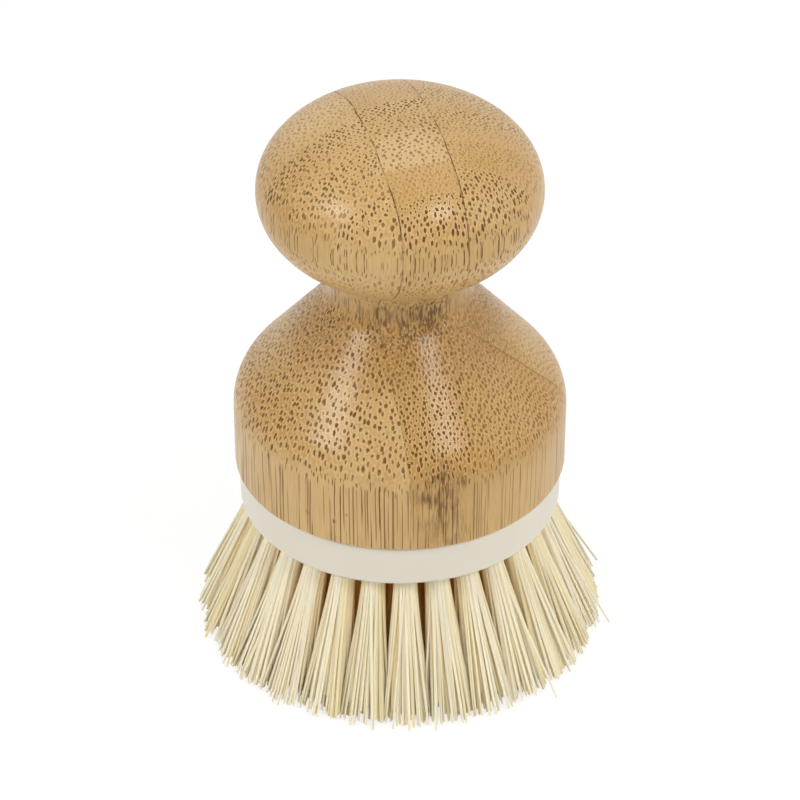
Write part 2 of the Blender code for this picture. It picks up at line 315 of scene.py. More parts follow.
def handle_profile(sizes):
    """The handle's section from the knob's top down its outer side to the foot and into the socket's bore.

    Knob, waist hollow, cone, shoulder and band touch without a corner: the waist's circle lies one radius off
    the knob, the cone is a tangent of that circle, and the shoulder's circle touches cone and band.
    """
    foot = HANDLE_LOW.z
    knob_centre = np.array([0, HANDLE_HIGH.z - sizes.knob_half_height])
    size = (sizes.knob_radius, sizes.knob_half_height, sizes.knob_fullness)
    latitude = -sizes.waist_meets_knob
    contact = superellipse(knob_centre, *size, latitude, latitude, steps=0)[0]
    shares = np.abs(contact - knob_centre) / size[:2]
    outward = shares ** (sizes.knob_fullness - 1) / size[:2] * (1, -1)
    outward /= np.linalg.norm(outward)
    waist_centre = contact + sizes.waist_fillet * outward
    normal = np.array([math.cos(sizes.cone_angle), math.sin(sizes.cone_angle)])
    cone_top = waist_centre - sizes.waist_fillet * normal
    shoulder_x = sizes.base_radius - sizes.shoulder_round
    shoulder_z = (cone_top @ normal - sizes.shoulder_round - shoulder_x * normal[0]) / normal[1]
    shoulder = arc((shoulder_x, shoulder_z), sizes.shoulder_round, sizes.cone_angle, 0, steps=28)
    edge = (sizes.base_radius - sizes.edge_round, foot + sizes.edge_round)
    from_knob = math.atan2(-outward[1], -outward[0])
    waist = arc(waist_centre, sizes.waist_fillet, from_knob, math.pi + sizes.cone_angle, steps=44)
    edge_arc = arc(edge, sizes.edge_round, 0, -math.pi / 2, steps=5)
    gap = sizes.bore_clearance
    counterbore = SOCKET_HIGH.x + gap
    bore = counterbore - bpy.context.scene.brush_head.flange_reach
    flange_top = foot + bpy.context.scene.brush_head.flange_thickness + gap
    bore_top = SOCKET_HIGH.z + gap
    return np.concatenate([
        superellipse(knob_centre, *size, math.pi / 2, latitude, steps=150),
        waist[1:],
        stretch(waist[-1], shoulder[0], steps=24),
        shoulder,
        stretch(shoulder[-1], edge_arc[0], steps=10),
        edge_arc,
        [(counterbore, foot), (counterbore, flange_top), (bore, flange_top), (bore, bore_top), (0, bore_top)],
    ])


def thread_ridge(sizes, low, high, gap, open_top=False):
    """How a helical ridge changes a radius: r - depth * s, with s a wave of (height / pitch - turns) whose
    crests and roots are cut off flat.

    The wave fades in and out over half a pitch at its ends, or runs out through an open top. The gap keeps a
    nut's thread off a bolt's.
    """

    def ridge(radius, height, angles):
        threaded = np.isclose(radius, sizes.boss_radius + gap) & (height > low) & (height < high)
        phase = (height - sizes.disc_top) / sizes.thread_pitch - angles / math.tau
        wave = 0.5 - 0.5 * np.cos(math.tau * phase)
        groove = np.clip(1.6 * wave - 0.3, 0, 1)
        left = height - low if open_top else np.minimum(height - low, high - height)
        fade = np.clip(2 * left / sizes.thread_pitch, 0, 1)
        return np.where(threaded, radius - sizes.thread_depth * groove * fade, radius)

    return ridge


def disc_profile(sizes):
    """The disc's section: core, boss, seat, the two rounded edges of the rim and the underside."""
    core = sizes.boss_radius - sizes.boss_wall
    top = sizes.disc_top
    boss_top = DISC_HIGH.z
    rim = DISC_HIGH.x
    crest = (sizes.boss_radius, boss_top - sizes.boss_chamfer)
    upper_centre = (rim - sizes.upper_round, top - sizes.upper_round)
    lower_centre = (rim - sizes.lower_round, DISC_LOW.z + sizes.lower_round)
    upper = arc(upper_centre, sizes.upper_round, math.pi / 2, 0, steps=6)
    lower = arc(lower_centre, sizes.lower_round, 0, -math.pi / 2, steps=8)
    return np.concatenate([
        [(0, top), (core, top), (core, boss_top), (sizes.boss_radius - sizes.boss_chamfer, boss_top), crest],
        stretch(crest, (sizes.boss_radius, top), THREAD_STEPS),
        [(sizes.boss_radius, top)],
        upper,
        stretch(upper[-1], lower[0], steps=8),
        lower,
        [(0, DISC_LOW.z)],
    ])


def socket_profile(sizes):
    """The socket's section: roof, outer wall, flange, lead-in at the mouth, threaded bore and its end."""
    bore = sizes.boss_radius + sizes.thread_clearance
    outer = SOCKET_HIGH.x - sizes.flange_reach
    flange_top = SOCKET_LOW.z + sizes.flange_thickness
    bore_top = SOCKET_HIGH.z - sizes.socket_roof
    lead_in = 2 * sizes.thread_clearance
    mouth = (bore, SOCKET_LOW.z + lead_in)
    return np.concatenate([
        [(0, SOCKET_HIGH.z), (outer, SOCKET_HIGH.z), (outer, flange_top), (SOCKET_HIGH.x, flange_top)],
        [(SOCKET_HIGH.x, SOCKET_LOW.z), (bore + lead_in, SOCKET_LOW.z), mouth],
        stretch(mouth, (bore, bore_top), THREAD_STEPS),
        [(bore, bore_top), (0, bore_top)],
    ])


def unit(vectors):
    """The vectors with a length of one."""
    return vectors / np.linalg.norm(vectors, axis=-1, keepdims=True)


def squared_up(pattern):
    """Moves points of the unit disc part of the way towards a square, as a sector is nearer to one.

    Each is moved out by (its distance / its larger coordinate) to the power 0.6.
    """
    reach = np.linalg.norm(pattern, axis=1)
    return pattern * ((reach / np.abs(pattern).max(axis=1)) ** 0.6)[:, None]


class TuftPlace:
    """Where one bundle sits, read from its CAD node: its hole, its axis and its sector on the tip plane."""

    def __init__(self, name):
        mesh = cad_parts[name].data
        points = np.zeros(len(mesh.vertices) * 3, np.float32)
        mesh.vertices.foreach_get("co", points)
        points = np.unique(np.round(points.reshape(-1, 3).astype(float), 6), axis=0)
        height = points[:, 2]
        tips = points[height < TOUCH]
        mouth = points[np.abs(height - DISC_LOW.z) < TOUCH]
        root = points[height > DISC_LOW.z + MM]
        self.mouth = mouth.mean(axis=0)
        self.axis = root.mean(axis=0) - self.mouth
        self.depth = np.linalg.norm(self.axis)
        self.axis /= self.depth
        self.radius = np.linalg.norm(root - root.mean(axis=0), axis=1).max()
        middle = math.atan2(tips[:, 1].mean(), tips[:, 0].mean())
        turns = (np.arctan2(tips[:, 1], tips[:, 0]) - middle + math.pi) % math.tau - math.pi
        reach = np.hypot(tips[:, 0], tips[:, 1])
        self.angle = middle + (turns.max() + turns.min()) / 2
        self.half_angle = (turns.max() - turns.min()) / 2
        self.tip_circle = (reach.max() + reach.min()) / 2
        self.half_depth = (reach.max() - reach.min()) / 2
        self.sideways = np.array([-math.sin(self.angle), math.cos(self.angle), 0])
        self.across = np.cross(self.sideways, self.axis)

    def in_hole(self, pattern, sizes):
        """Spots on the hole's mouth for points of the unit disc, and the same spots down inside the hole."""
        hole = (self.radius + sizes.hole_slack - sizes.fibre_radius) * pattern
        start = self.mouth + hole[:, :1] * self.across + hole[:, 1:] * self.sideways
        return start, start + self.axis * (ROOT_SHARE * self.depth)

    def tip_spots(self, tips, sizes):
        """Spots on the tip plane for points of a square from -1 to 1.

        The first number moves a spot outwards, radius = middle + (half depth + swell) * first, and the second
        moves it round, angle = middle + half angle * fan * second.
        """
        circle_radius = self.tip_circle + (self.half_depth + sizes.tip_swell) * tips[:, 0]
        turn = self.angle + self.half_angle * sizes.fan * tips[:, 1]
        height = np.full(len(tips), TIP_LIFT)
        return np.stack([circle_radius * np.cos(turn), circle_radius * np.sin(turn), height], axis=1)

    def bowed(self, start, end, cut, bend):
        """Cubic Bezier curves that leave the hole nearly along its axis, as (curve, step, xyz).

        Each stops at its cut, a share of the way. Its handles stand a third of the way from either end, and
        bend moves them.
        """
        t = np.linspace(0, 1, BRISTLE_STEPS)[None, :, None] * cut[:, None, None]
        reach = np.linalg.norm(end - start, axis=1)[:, None]
        straight = unit(end - start)
        leave = unit(straight - 0.8 * self.axis)
        first = start + leave * reach / 3 + 0.4 * bend[0]
        second = end - straight * reach / 3 + bend[1]
        return (
            (1 - t) ** 3 * start[:, None] + 3 * (1 - t) ** 2 * t * first[:, None]
            + 3 * (1 - t) * t**2 * second[:, None] + t**3 * end[:, None]
        )


def bundle_core(place, sizes, random):
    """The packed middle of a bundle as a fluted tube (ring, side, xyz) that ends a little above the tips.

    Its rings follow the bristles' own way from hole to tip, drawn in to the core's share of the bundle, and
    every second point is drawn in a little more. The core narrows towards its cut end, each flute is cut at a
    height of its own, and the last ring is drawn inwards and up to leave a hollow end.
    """
    sides = 2 * sizes.core_flutes
    share = sizes.core_share * np.where(np.arange(sides) % 2, 1.0, CORE_GROOVE)
    pattern = share[:, None] * circle(sides)
    start, inside = place.in_hole(pattern, sizes)
    end = place.tip_spots(squared_up(pattern), sizes)
    cut = np.repeat(random.uniform(*CORE_CUT, sizes.core_flutes), 2)
    curve = place.bowed(start, end, cut, (0, 0))
    middle = curve.mean(axis=0)
    narrowing = np.clip(1.35 - 0.55 * np.linspace(0, 1, BRISTLE_STEPS), 0, 1)[:, None]
    curve = middle + narrowing * (curve - middle)
    hollow = middle[-2] + CORE_HOLLOW * (curve[:, -2] - middle[-2])
    return np.concatenate([inside[:, None], curve, hollow[:, None]], axis=1).transpose(1, 0, 2)


def bristle_lines(place, count, sizes, random):
    """Centre lines of a bundle's bristles as an array (bristle, step, xyz), and the tone of each.

    Starts fill the hole's disc in a sunflower pattern, and the tips fill the sector on the tip plane in the
    same order, drawn together in clumps. Between them runs a cubic Bezier curve that leaves the hole along its
    axis. A few bristles lean out of the bundle, each clump and each bristle is cut a little short, and a few
    are cut much shorter.
    """
    order = np.arange(count) + 0.5
    reach = np.sqrt(order / count)
    turn = order * math.pi * (3 - math.sqrt(5))
    pattern = np.stack([reach * np.cos(turn), reach * np.sin(turn)], axis=1)
    start, inside = place.in_hole(pattern, sizes)
    tips = squared_up(pattern)
    heads = tips[random.choice(count, count // sizes.clump_size, replace=False)]
    owner = np.linalg.norm(tips[:, None] - heads[None], axis=2).argmin(axis=1)
    tips += sizes.clump_pull * (heads[owner] - tips) * random.uniform(0.4, 1.3, (count, 1))
    end = place.tip_spots(tips, sizes)
    drift = random.normal(0, sizes.wander, (count, 2))
    stray = random.random(count) < sizes.stray_share
    drift[stray] += random.normal(0, sizes.stray_reach, (int(stray.sum()), 2))
    end[:, :2] += drift
    bend = random.normal(0, sizes.bow, (2, count, 3))
    clump_cut = np.abs(random.normal(0, 1, len(heads)))[owner]
    short = 0.5 * clump_cut + 0.5 * np.abs(random.normal(0, 1, count))
    short += (random.random(count) < 0.04) * random.uniform(1, 5, count)
    cut = 1 - short * sizes.short_reach / np.linalg.norm(end - start, axis=1)
    curve = place.bowed(start, end, cut, bend)
    clump_tone = random.random(len(heads))[owner]
    return np.concatenate([inside[:, None], curve], axis=1), 0.6 * clump_tone + 0.4 * random.random(count)


def bristle_mesh(name, lines, tone, inner, core, sizes, random):
    """Tubes round the lines: ring k of a bristle is its centre plus two short axes times cos and sin.

    The section is a slightly flat oval, turned at random, that thins towards the cut tip. The core is one more
    tube. Each point keeps a tone, its share of the way to the tip, how far inside the field its bristle stands,
    and the direction and share of the way from the bundle's middle to its skin.
    """
    count, steps, _ = lines.shape
    rings, flutes, _ = core.shape
    sides = BRISTLE_SIDES
    along = unit(lines[:, -1] - lines[:, 1])
    helper = unit(random.normal(0, 1, (count, 3)))
    wide = unit(np.cross(along, helper))
    thin = np.cross(along, wide)
    radius = sizes.fibre_radius * random.uniform(0.78, 1.2, count)
    flat = random.uniform(0.68, 1.0, count)
    taper = np.linspace(1.04, 0.86, steps)
    taper[-1] *= 0.8
    spin = circle(sides)
    ring = (
        spin[None, :, :1] * wide[:, None] + (flat[:, None] * spin[:, 1])[..., None] * thin[:, None]
    ) * radius[:, None, None]
    points = lines[:, :, None] + ring[:, None] * taper[None, :, None, None]

    each = steps * sides
    base = np.arange(count)[:, None] * each
    quads = (ring_quads(steps, sides)[None] + base[..., None]).reshape(-1, 4)
    root_cap = base + np.arange(sides)
    tip_cap = base + each - sides + np.arange(sides)[::-1]
    first = count * each
    core_caps = first + np.stack([np.arange(flutes), (rings - 1) * flutes + np.arange(flutes)[::-1]])
    faces = [quads[:, ::-1], root_cap[:, ::-1], tip_cap[:, ::-1], first + ring_quads(rings, flutes), core_caps]
    mesh = new_mesh(name, np.concatenate([points.reshape(-1, 3), core.reshape(-1, 3)]), faces)

    def keep_both(title, of_bristles, of_core):
        keep(mesh, title, np.concatenate([of_bristles, of_core]))

    flute_tone = np.repeat(random.random(flutes // 2), 2)
    keep_both("bristle_tone", np.repeat(tone, each), np.tile(flute_tone, rings))
    reach = np.repeat(np.linspace(0, 1, steps), sides)
    keep_both("bristle_reach", np.tile(reach, count), np.repeat(np.linspace(0, 0.9, rings), flutes))
    keep_both("bristle_inner", np.repeat(inner, each), np.full(rings * flutes, inner.mean()))
    outward = lines - lines.mean(axis=0)
    outward -= (outward * along[:, None]).sum(axis=2, keepdims=True) * along[:, None]
    outward /= np.quantile(np.linalg.norm(outward, axis=2), 0.8, axis=0)[None, :, None]
    core_outward = 0.5 * unit(core - core.mean(axis=1, keepdims=True))
    keep_both("bundle_outward", np.repeat(outward.reshape(-1, 3), sides, axis=0), core_outward.reshape(-1, 3))
    return mesh


# Material helpers

HALF = (0.5, 0.5, 0.5)


class Value:
    """One output of a shader node. Sums and products with it add Math or Vector Math nodes."""

    def __init__(self, nodes, socket):
        self.nodes = nodes
        self.socket = socket

    def __add__(self, other):
        return self.nodes.maths("ADD", self, other)

    def __sub__(self, other):
        return self.nodes.maths("SUBTRACT", self, other)

    def __rsub__(self, other):
        return self.nodes.maths("SUBTRACT", other, self)

    def __mul__(self, other):
        return self.nodes.maths("MULTIPLY", self, other)

    def __truediv__(self, other):
        return self.nodes.maths("DIVIDE", self, other)

    def line(self, slope, start):
        """The slope times this value, plus the start."""
        return self.nodes.maths("MULTIPLY_ADD", self, slope, start)

    def most(self, other):
        """The larger of the two."""
        return self.nodes.maths("MAXIMUM", self, other)

    def length(self):
        return self.nodes.add("ShaderNodeVectorMath", {0: self}, 1, operation="LENGTH")

    def smooth(self, low, high):
        """0 below low, 1 above high, with a smooth step between."""
        inputs = {0: self, 1: low, 2: high}
        return self.nodes.add("ShaderNodeMapRange", inputs, interpolation_type="SMOOTHSTEP")

    def remap(self, low, high, new_low, new_high):
        """Low to high becomes new low to new high, and stays there beyond."""
        return self.nodes.add("ShaderNodeMapRange", {0: self, 1: low, 2: high, 3: new_low, 4: new_high})


class Nodes:
    """Short calls that add a shader node and link or set its inputs."""

    def __init__(self, tree):
        self.tree = tree

    def add(self, kind, inputs=None, output=0, **settings):
        """A new node, given by one of its outputs."""
        node = self.tree.nodes.new(kind)
        for key, value in settings.items():
            setattr(node, key, value)
        for key, value in (inputs or {}).items():
            if isinstance(value, Value):
                self.tree.links.new(value.socket, node.inputs[key])
            else:
                node.inputs[key].default_value = value
        return Value(self, node.outputs[output])

    def split(self, kind, inputs=None, **settings):
        """A new node, given by all its outputs by name."""
        outputs = self.add(kind, inputs, **settings).socket.node.outputs
        return {socket.name: Value(self, socket) for socket in outputs}

    def maths(self, operation, *values):
        """A Math node, or a Vector Math node where the first value is a vector or a colour."""
        first = values[0]
        wide = isinstance(first, Value) and first.socket.type in {"VECTOR", "RGBA"}
        kind = "ShaderNodeVectorMath" if wide else "ShaderNodeMath"
        return self.add(kind, dict(enumerate(values)), operation=operation)

    def mix(self, factor, first, second):
        """A mix of two colours."""
        return self.add("ShaderNodeMix", {0: factor, 6: first, 7: second}, 2, data_type="RGBA")

    def blend(self, factor, first, second):
        """A mix of two numbers."""
        return self.add("ShaderNodeMix", {0: factor, 2: first, 3: second})

    def noise(self, vector, scale=1.0, detail=2.0, roughness=0.5, output="Fac"):
        inputs = {"Vector": vector, "Scale": scale, "Detail": detail, "Roughness": roughness}
        return self.add("ShaderNodeTexNoise", inputs, output)

    def position(self):
        return self.add("ShaderNodeTexCoord", output="Object")

    def kept(self, name, output="Fac"):
        """A number or a vector that the mesh keeps for each point."""
        return self.add("ShaderNodeAttribute", output=output, attribute_name=name)


def paint(name, build, **sockets):
    """A material whose Principled shader takes plain values by socket name, and links from the build function."""
    material = bpy.data.materials.new(name)
    material.use_nodes = True
    tree = material.node_tree
    shader = tree.nodes["Principled BSDF"]
    for key, value in sockets.items():
        shader.inputs[key.replace("_", " ")].default_value = value
    for key, value in build(Nodes(tree)).items():
        tree.links.new(value.socket, shader.inputs[key])
    return material


def colour(values):
    """A colour socket's four numbers."""
    return (*values, 1)


def mottle_group():
    """A node group that breaks up an even surface: soft clouds and fine specks vary a colour and a height."""
    group = bpy.data.node_groups.get("soft_mottle")
    if group:
        return group
    group = bpy.data.node_groups.new("soft_mottle", "ShaderNodeTree")
    for way, title, kind in (
        ("INPUT", "Colour", "Color"), ("INPUT", "Clouds", "Float"), ("INPUT", "Specks", "Float"),
        ("OUTPUT", "Colour", "Color"), ("OUTPUT", "Roughness", "Float"), ("OUTPUT", "Height", "Float"),
    ):
        group.interface.new_socket(title, in_out=way, socket_type="NodeSocket" + kind)
    nodes = Nodes(group)
    given = nodes.split("NodeGroupInput")
    taken = group.nodes.new("NodeGroupOutput")
    place = nodes.position()
    clouds = nodes.noise(place, 90, 3)
    specks = nodes.noise(place, 2400, 2)
    shade = (clouds - 0.5) * given["Clouds"] + (specks - 0.5) * given["Specks"] + 1
    tinted = nodes.add("ShaderNodeVectorMath", {0: given["Colour"], "Scale": shade}, operation="SCALE")
    for key, value in (("Colour", tinted), ("Roughness", clouds.line(0.12, 0.34)), ("Height", specks)):
        group.links.new(value.socket, taken.inputs[key])
    return group


def plastic(name, base, clouds, specks):
    """Satin moulded plastic with faint clouds, fine specks and a trace of light that passes under its skin."""

    def build(nodes):
        inputs = {"Colour": colour(base), "Clouds": clouds, "Specks": specks}
        mottle = nodes.split("ShaderNodeGroup", inputs, node_tree=mottle_group())
        bump = nodes.add("ShaderNodeBump", {"Height": mottle["Height"], "Strength": 0.12, "Distance": 0.05 * MM})
        return {"Base Color": mottle["Colour"], "Roughness": mottle["Roughness"], "Normal": bump}

    return paint(name, build, Subsurface_Weight=0.12, Subsurface_Radius=(0.004, 0.003, 0.002),
                 Subsurface_Scale=0.4)


# Bamboo: the block's columns run towards the back left, and its strips lie across them. Each strip's row gives
# where it ends towards the front in millimetres along the column, its tone (0 pale, 1 toasted), how crowded its
# fibre bundles are at the back and the front, and how dark they are there.
# The bell's right side steps back to a paler strip at BELL_STEP_MM.
BLOCK_TURN = math.radians(-17.2)
GLUE_PLANES_MM = (-6.8, 4.4)
STRIP_REACH_MM = 30
BELL_STEP_MM = -12.4
# The three lattices of fibre bundles: the gaps between and along their rows, and the radius of a dot
FINE_GAPS_MM, FINE_DOT_MM = (0.56, 1.0), 0.215
COARSE_GAPS_MM, COARSE_DOT_MM = (0.69, 1.22), 0.25
THREAD_GAPS_MM, THREAD_DOT_MM = (0.4, 0.55), 0.09
LEFT_STRIPS = (
    (17.0, 0.45, 0.8, 0.4, 0.75, 0.55),
    (8.5, 0.30, 0.9, 0.4, 0.6, 0.4),
    (-1.0, 0.12, 0.5, 0.3, 0.5, 0.35),
    (-9.0, 0.34, 0.9, 0.3, 0.95, 0.45),
    (-17.0, 0.38, 0.9, 0.3, 0.85, 0.45),
    (-24.6, 0.30, 0.6, 0.3, 0.95, 0.55),
    (-30.0, 0.42, 0.5, 0.4, 0.75, 0.6),
)
MIDDLE_STRIPS = (
    (20.0, 0.40, 0.8, 0.4, 0.75, 0.55),
    (11.0, 0.30, 0.8, 0.4, 0.55, 0.4),
    (2.2, 0.50, 0.9, 0.7, 0.38, 0.3),
    (-6.2, 0.36, 0.8, 0.3, 0.95, 0.5),
    (-13.9, 0.18, 0.3, 0.5, 0.65, 0.5),
    (-18.8, 0.62, 0.8, 0.8, 0.28, 0.22),
    (-26.0, 0.55, 0.5, 0.7, 1.0, 1.0),
    (-30.0, 0.80, 0.7, 0.8, 1.0, 1.0),
)
RIGHT_STRIPS = (
    (14.0, 0.35, 0.8, 0.4, 0.65, 0.45),
    (6.0, 0.40, 0.9, 0.6, 0.5, 0.4),
    (-2.1, 0.45, 0.9, 0.6, 0.7, 0.3),
    (-9.8, 0.42, 0.95, 0.6, 0.75, 0.15),
    (-15.5, 0.55, 0.9, 0.8, 0.35, 0.25),
    (-23.0, 0.62, 0.8, 0.7, 0.85, 0.85),
    (-30.0, 0.62, 0.7, 0.6, 0.9, 0.9),
)

# Marks of wear on the band, and round the neck marks that are partly wear and partly painted shade under the
# knob: place above its foot, radius and strength
SMUDGES_AND_SHADE_MM = (
    ((7.0, -27.9, 12.4), 5.5, 0.75),
    ((7.5, -27.8, 5.5), 7.5, 0.4),
    ((3.4, -28.4, 10.8), 3.4, 0.4),
    ((5.2, -11.4, 36.0), 5.5, 0.8),
    ((2.6, -12.4, 34.0), 4.5, 0.5),
    ((0.0, -12.5, 35.5), 10.0, 0.4),
    ((-15.5, -24.3, 4.7), 0.7, 0.75),
    ((-11.1, -26.6, 4.5), 0.6, 0.6),
    ((-9.1, -27.3, 6.4), 0.45, 0.7),
)

STRIP_BLUR = 0.0006


def strip_ramp(nodes, along, strips):
    """A colour ramp along a column: red is tone, green is crowding and blue is darkness of the bundles."""
    ramp_node = nodes.add("ShaderNodeValToRGB", {0: along.remap(STRIP_REACH_MM, -STRIP_REACH_MM, 0, 1)})
    ramp = ramp_node.socket.node.color_ramp
    stops = []
    back = 0.0
    for edge, tone, crowd_back, crowd_front, dark_back, dark_front in strips:
        front = (STRIP_REACH_MM - edge) / (2 * STRIP_REACH_MM)
        stops.append((back + STRIP_BLUR, (tone, crowd_back, dark_back, 1)))
        stops.append((front - STRIP_BLUR, (tone, crowd_front, dark_front, 1)))
        back = front
    while len(ramp.elements) < len(stops):
        ramp.elements.new(0.5)
    for element, (place, value) in zip(ramp.elements, stops):
        element.position = place
        element.color = value
    return ramp_node


def bundle_dots(nodes, place, row_gap, column_gap, radius, randomness=0.5):
    """Cut fibre bundles in staggered rows across a column: a sheared grid of cells, each with a dot of its own.

    Each dot is a dark sheath with paler vessels a little off its centre, and has a thin pale rim.
    """
    parts = nodes.split("ShaderNodeSeparateXYZ", {0: place})
    row = parts["Y"] / row_gap
    column = row.line(0.5, parts["X"] / column_gap)
    grid = nodes.add("ShaderNodeCombineXYZ", {0: column, 1: row})
    inputs = {"Vector": grid, "Scale": 1.0, "Randomness": randomness}
    cells = nodes.split("ShaderNodeTexVoronoi", inputs, voronoi_dimensions="2D")
    off = nodes.split("ShaderNodeSeparateXYZ", {0: grid - cells["Position"]})
    off_across = off["Y"].line(-0.5, off["X"]) * column_gap
    away = nodes.add("ShaderNodeCombineXYZ", {0: off_across, 1: off["Y"] * row_gap})
    chance = nodes.add("ShaderNodeSeparateColor", {0: cells["Color"]})
    size = (chance.line(0.5, 0.75) * radius).most(0.001)
    near = away.length() / size
    lean = (cells["Color"] - HALF) * (0.3, 0.3, 0)
    vessels = 1 - ((away + lean).length() / size).smooth(0.1, 0.7)
    sheath = 1 - near.smooth(0.6, 1.15)
    dot = sheath * vessels.line(-0.2, 1) * chance.line(0.35, 0.85)
    rim = near.smooth(0.9, 1.3) * (1 - near.smooth(1.3, 2.8))
    return dot, rim


def blotch(nodes, place, centre, radius):
    """A soft round patch about a point, all in millimetres, that frays by noise."""
    distance = nodes.add("ShaderNodeVectorMath", {0: place, 1: centre}, 1, operation="DISTANCE")
    frayed = nodes.noise(place * (0.5, 0.5, 0.25), detail=4)
    return 1 - (distance + frayed.remap(0.3, 0.7, -0.3 * radius, 0.3 * radius)).smooth(0, radius)


def bamboo(colours):
    """Laminated bamboo as a solid pattern: what changes across the block is carried straight up through it.

    Upward faces then show cut bundles as dots, slopes show them as slits and upright faces as long streaks.
    Heights are millimetres above the handle's foot.
    """

    def build(nodes):
        body = nodes.position() * (1000, 1000, 1000)
        turned = nodes.add("ShaderNodeMapping", {"Vector": body, "Rotation": (0, 0, BLOCK_TURN)})
        drift = nodes.noise(turned * (0.09, 0.09, 0.022), output="Color")
        place = turned + (drift - HALF) * (1.6, 1.6, 0)
        parts = nodes.split("ShaderNodeSeparateXYZ", {0: place})
        across, along = parts["X"], parts["Y"]
        height = parts["Z"] - HANDLE_LOW.z / MM
        lying = nodes.kept("lying").smooth(0.1, 0.45)
        # Faces that look down are painted paler, with fainter bundles: painted light bounced up from the floor
        painted_underlight = nodes.kept("facing_down").smooth(0.05, 0.5)
        broad = nodes.noise(turned * (0.12, 0.12, 0.05), detail=3)

        # Where things are: the two outer columns, the bell, its step, and the neck, which is painted darker as
        # shade under the knob
        right = nodes.maths("GREATER_THAN", across, GLUE_PLANES_MM[1])
        left = nodes.maths("LESS_THAN", across, GLUE_PLANES_MM[0])
        low = 1 - height.smooth(27, 36)
        neck_shade = height.smooth(23, 30) * (1 - height.smooth(35, 39))
        bell = (1 - left) * nodes.blend(right, 0.6, 0.45) * (low * height.smooth(7, 14))
        bell_right = right * low
        past_step = along - BELL_STEP_MM
        behind = bell_right * past_step.smooth(-0.1, 0.1)
        far_left = (1 - across.smooth(-25, -13)) * height.smooth(12, 18)

        # Tone, crowding and darkness of the bundles
        strips = nodes.mix(right, strip_ramp(nodes, along, MIDDLE_STRIPS), strip_ramp(nodes, along, RIGHT_STRIPS))
        strips = nodes.mix(left, strips, strip_ramp(nodes, along, LEFT_STRIPS))
        strip = nodes.split("ShaderNodeSeparateColor", {0: strips})
        # The neck is painted darker as shade under the knob, and downward faces are painted paler as bounce light
        tone = strip["Red"] + bell.most(neck_shade * 0.75) + far_left * 0.7 - painted_underlight * 0.4 - behind * 0.4
        crowd_low = nodes.blend(left, 0.85, 0.3) + broad.remap(0.3, 0.7, -0.2, 0.2)
        crowd = nodes.blend(low * 0.8, strip["Green"], crowd_low)
        dark_low = strip["Blue"].line(0.35, 0.55) * nodes.blend(right, 1, 0.65)
        dark = nodes.blend(low, strip["Blue"], dark_low) * painted_underlight.line(-0.5, 1) * behind.line(-0.25, 1)

        # Fine bundles where they are crowded, coarse ones elsewhere, and threads on upright faces
        ragged = nodes.noise(place * (2.2, 2.2, 0.09), detail=3, output="Color")
        ragged = place + (ragged - HALF) * (0.5, 0.5, 0)
        girth = lying.line(0.62, 0.38)
        fine_share = crowd.smooth(0.48, 0.56)
        fine, fine_rim = bundle_dots(nodes, ragged, *FINE_GAPS_MM, fine_share * FINE_DOT_MM * girth)
        coarse_radius = (1 - fine_share) * COARSE_DOT_MM * girth
        coarse, coarse_rim = bundle_dots(nodes, ragged, *COARSE_GAPS_MM, coarse_radius)
        thread_radius = lying.line(-THREAD_DOT_MM, THREAD_DOT_MM)
        thread, _ = bundle_dots(nodes, place, *THREAD_GAPS_MM, thread_radius, 1.0)
        dots = fine.most(coarse).most(thread * 0.8) * dark
        rims = fine_rim.most(coarse_rim) * lying * dark.line(0.5, 0.5)

        grain = nodes.noise(place * (3.6, 3.6, 0.14), detail=3, roughness=0.65)
        shade = tone + grain.remap(0.25, 0.75, -0.45, 0.45) + broad.remap(0.3, 0.7, -0.16, 0.16)
        wood = nodes.mix(shade.smooth(-0.3, 1.2), colour(colours.bamboo_pale), colour(colours.bamboo_deep))
        wood = nodes.mix(rims * 0.46, wood, colour(colours.bamboo_rim))
        wood = nodes.mix(lying.line(-0.33, 0.33), wood, colour(colours.bamboo_wall))
        wood = nodes.mix(dots, wood, colour(colours.bundle))

        # Broken glue lines between the columns, and the edge of the bell's step
        seams = [1 - nodes.maths("ABSOLUTE", across - plane).smooth(0.04, 0.16) for plane in GLUE_PLANES_MM]
        broken = nodes.noise(turned * (0.35, 0.35, 0.35)).smooth(0.35, 0.62)
        seams = seams[0].most(seams[1]) * broken.line(0.65, 0.2) * height.remap(28, 50, 0.3, 1)
        step_line = 1 - nodes.maths("ABSOLUTE", past_step).smooth(0.05, 0.22)
        seams = seams.most(step_line * (bell_right * lying) * 0.4)
        wood = nodes.mix(seams, wood, colour(colours.glue))

        streaks = nodes.noise(place * (3.0, 3.0, 0.35), detail=3).smooth(0.44, 0.6).line(1.25, 0.2)
        # Dark streaks round the neck in the smudge colour: partly stain, partly painted shade under the knob
        wood = nodes.mix(neck_shade * streaks * 0.28, wood, colour(colours.smudge_and_shade))
        # Wear marks, and at the neck partly painted shade
        for centre, radius, strength in SMUDGES_AND_SHADE_MM:
            spot = Vector(centre) + Vector((0, 0, HANDLE_LOW.z / MM))
            patch = blotch(nodes, body, spot, radius) * (streaks * strength)
            wood = nodes.mix(patch, wood, colour(colours.smudge_and_shade))

        pits = dots.most(seams)
        bump = nodes.add("ShaderNodeBump", {"Height": grain * 0.3 - pits, "Strength": 0.9, "Distance": 0.00018})
        rough = pits.line(0.25, grain.remap(0.3, 0.7, 0.33, 0.45))
        return {"Base Color": wood, "Roughness": rough, "Coat Weight": pits.line(-0.32, 0.32), "Normal": bump}

    return paint("bamboo", build, Specular_IOR_Level=0.25, Coat_Roughness=0.22)


